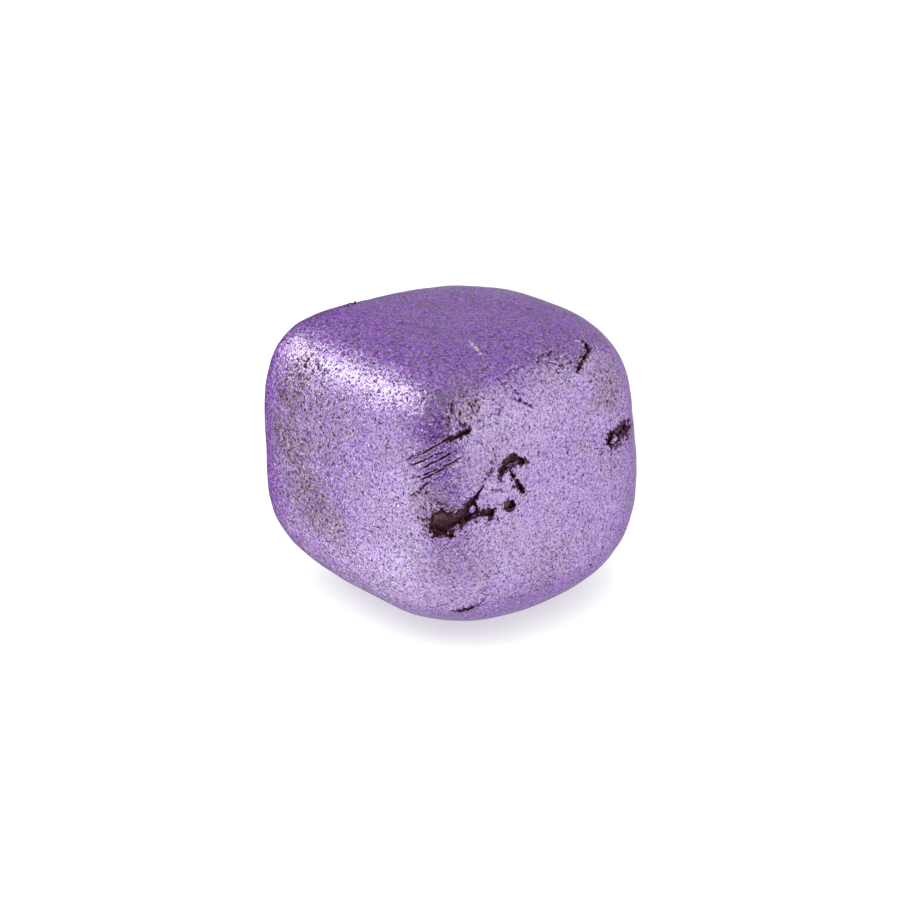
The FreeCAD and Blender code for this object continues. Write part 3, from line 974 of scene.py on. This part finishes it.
# ---- the pieces ------------------------------------------------------------------------------
SCRAPS = (
    # node, bearing, tilt, width, height, curl, seed
    ("skin_tongue", -21.0, 2.0, 0.8, 1.0, 0.25, 2.0),
    ("hook_lip", -5.0, 7.0, 1.9, 0.5, 0.20, 5.0),
    ("edge_islet", 12.0, 6.0, 1.6, 0.9, 0.20, 9.0),
    ("crest_flake", -150.0, 75.0, 1.6, 0.9, 0.45, 12.0),
)


def dress(piece, node, material):
    """Put a piece in the place of its CAD node."""
    piece.data.materials.append(material)
    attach(piece, "root")
    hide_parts(node)


lustre = lustre_material()
compound = compound_material()
dress(build_skin(), "lustre_skin", lustre)
dress(build_core(), "compound_core", compound)
for scrap in SCRAPS:
    dress(build_scrap(*scrap), scrap[0], lustre)


# ---- floor, lights and camera -------------------------------------------------------------------
BACKDROP_REACH = 3.0          # metres
BACKDROP_SEGMENTS = 96
BACKDROP_MERGE = 1e-4         # points closer than this share of the reach are one
FLOOR_GREY = (0.3, 0.3, 0.3, 1.0)
FLOOR_GLOW = 0.88
PAINTED_SHADOW_REACH = 4.5             # how far from the cake the floor's glow is dimmed into a painted contact shadow
PAINTED_SHADOW_RAMP = (-1.2, 0.9)      # painted contact shadow: shut in, it keeps 57% of its glow, and from 90% open all of it


def floor():
    """A pale floor under a pale dome, glowing evenly except for a painted contact shadow where its
    glow dims close to the cake. Only the camera sees it: it tints nothing.
    """
    bm = bmesh.new()
    rows = BACKDROP_SEGMENTS // 2
    bmesh.ops.create_uvsphere(
        bm, u_segments=BACKDROP_SEGMENTS, v_segments=rows, radius=BACKDROP_REACH)
    for vert in bm.verts:
        vert.co.z = max(vert.co.z, 0.0)
    bmesh.ops.remove_doubles(bm, verts=bm.verts, dist=BACKDROP_REACH * BACKDROP_MERGE)
    bmesh.ops.reverse_faces(bm, faces=bm.faces)
    mesh = bpy.data.meshes.new("floor")
    bm.to_mesh(mesh)
    bm.free()
    n = MaterialNodes("pale_floor")
    n.put(n.shader.inputs["Base Color"], FLOOR_GREY)
    n.put(n.shader.inputs["Roughness"], 0.9)
    n.put(n.shader.inputs["Emission Color"], (1.0, 1.0, 1.0, 1.0))
    # painted contact shadow: the glow dims where the cake shuts the floor in
    open_share = n.add("ShaderNodeAmbientOcclusion", {"Distance": PAINTED_SHADOW_REACH * MM}).outputs["AO"]
    glow = n.math("MULTIPLY", n.ramp(open_share, *PAINTED_SHADOW_RAMP), FLOOR_GLOW)
    n.put(n.shader.inputs["Emission Strength"], glow)
    mesh.materials.append(n.material)
    piece = bpy.data.objects.new("floor", mesh)
    bpy.context.collection.objects.link(piece)
    piece.visible_glossy = False
    piece.visible_diffuse = False
    piece.visible_shadow = False


def direction(bearing, elevation):
    """The unit vector that points this way."""
    b = math.radians(bearing)
    e = math.radians(elevation)
    return Vector((math.cos(e) * math.cos(b), math.cos(e) * math.sin(b), math.sin(e)))


ROOM_DIM = 0.39               # how bright the room is between the panels
ROOM_TINT = (0.98, 1.0, 0.93, 1.0)      # its light is very slightly yellow-green
PANELS = (
    # bearing, elevation, roll, half width, half height in degrees, soft edge, brightness
    (-152.0, 25.0, 0.0, 20.0, 18.0, 0.05, 3.0),       # key, low end
    (-118.0, 47.0, 0.0, 16.0, 16.0, 0.05, 3.0),       # key, high end
    (-116.0, -22.0, 0.0, 32.0, 28.0, 0.06, 0.79),     # left
    (-145.0, -54.0, 0.0, 26.0, 18.0, 0.10, 0.62),
    (42.0, -2.0, -25.0, 44.0, 46.0, 0.06, 0.67),      # right
    (18.0, 12.0, -25.0, 30.0, 34.0, 0.30, 0.42),
    (16.0, 44.0, 0.0, 15.0, 24.0, 0.20, 0.45),
    (-50.0, -66.0, 0.0, 52.0, 30.0, 0.12, 0.76),      # low front
    (176.0, -10.0, 0.0, 33.0, 30.0, 0.06, -0.32),     # flags
    (-42.0, 15.0, 0.0, 35.0, 44.0, 0.08, -0.37),
    (140.0, 32.0, 0.0, 40.0, 24.0, 0.25, -0.12),
)


def studio():
    """A dim room with soft panels: a key at the left, and low ones at both sides."""
    world = bpy.data.worlds.new("studio")
    world.use_nodes = True
    bpy.context.scene.world = world
    n = Nodes(world.node_tree)
    at = n.add("ShaderNodeTexCoord").outputs["Generated"]
    total = ROOM_DIM
    for bearing, elevation, roll, half_width, half_height, soft, brightness in PANELS:
        across, rise, out = facing_axes(bearing, elevation)
        r = math.radians(roll)
        right = across * math.cos(r) + rise * math.sin(r)
        up = rise * math.cos(r) - across * math.sin(r)
        ahead = n.dot(at, out)
        depth = n.math("MAXIMUM", ahead, 0.001)
        shape = n.math("GREATER_THAN", ahead, 0.0)
        for axis, half in ((right, half_width), (up, half_height)):
            edge = math.tan(math.radians(half))
            off = n.math("DIVIDE", n.math("ABSOLUTE", n.dot(at, axis)), depth)
            shape = n.math("MULTIPLY", shape, n.ramp(off, edge + soft, edge - soft))
        total = n.math("ADD", total, n.math("MULTIPLY", shape, brightness))
    background = world.node_tree.nodes["Background"]
    n.put(background.inputs["Color"], ROOM_TINT)
    n.put(background.inputs["Strength"], total)


CAMERA_BEARING = 48.1          # degrees round from the front, towards the right face
CAMERA_ELEVATION = 24.2
CAMERA_DISTANCE = 220.0
CAMERA_AIM = (-0.18, -0.09, 18.0)
CAMERA_LENS = 65.2
CAMERA_SHIFT = (-0.0102, 0.0015)
SENSOR_WIDTH = 36.0
NEAREST_SEEN = 0.005          # metres


def camera():
    """A long lens that looks down at the edge between the two near faces."""
    data = bpy.data.cameras.new("camera")
    data.lens = CAMERA_LENS
    data.sensor_width = SENSOR_WIDTH
    data.shift_x, data.shift_y = CAMERA_SHIFT
    data.clip_start = NEAREST_SEEN
    piece = bpy.data.objects.new("camera", data)
    back = direction(CAMERA_BEARING - 90.0, CAMERA_ELEVATION)
    piece.location = (Vector(CAMERA_AIM) + back * CAMERA_DISTANCE) * MM
    piece.rotation_euler = back.to_track_quat("Z", "Y").to_euler()
    bpy.context.collection.objects.link(piece)
    bpy.context.scene.camera = piece


floor()
studio()
camera()
bpy.context.scene.view_settings.view_transform = "Standard"
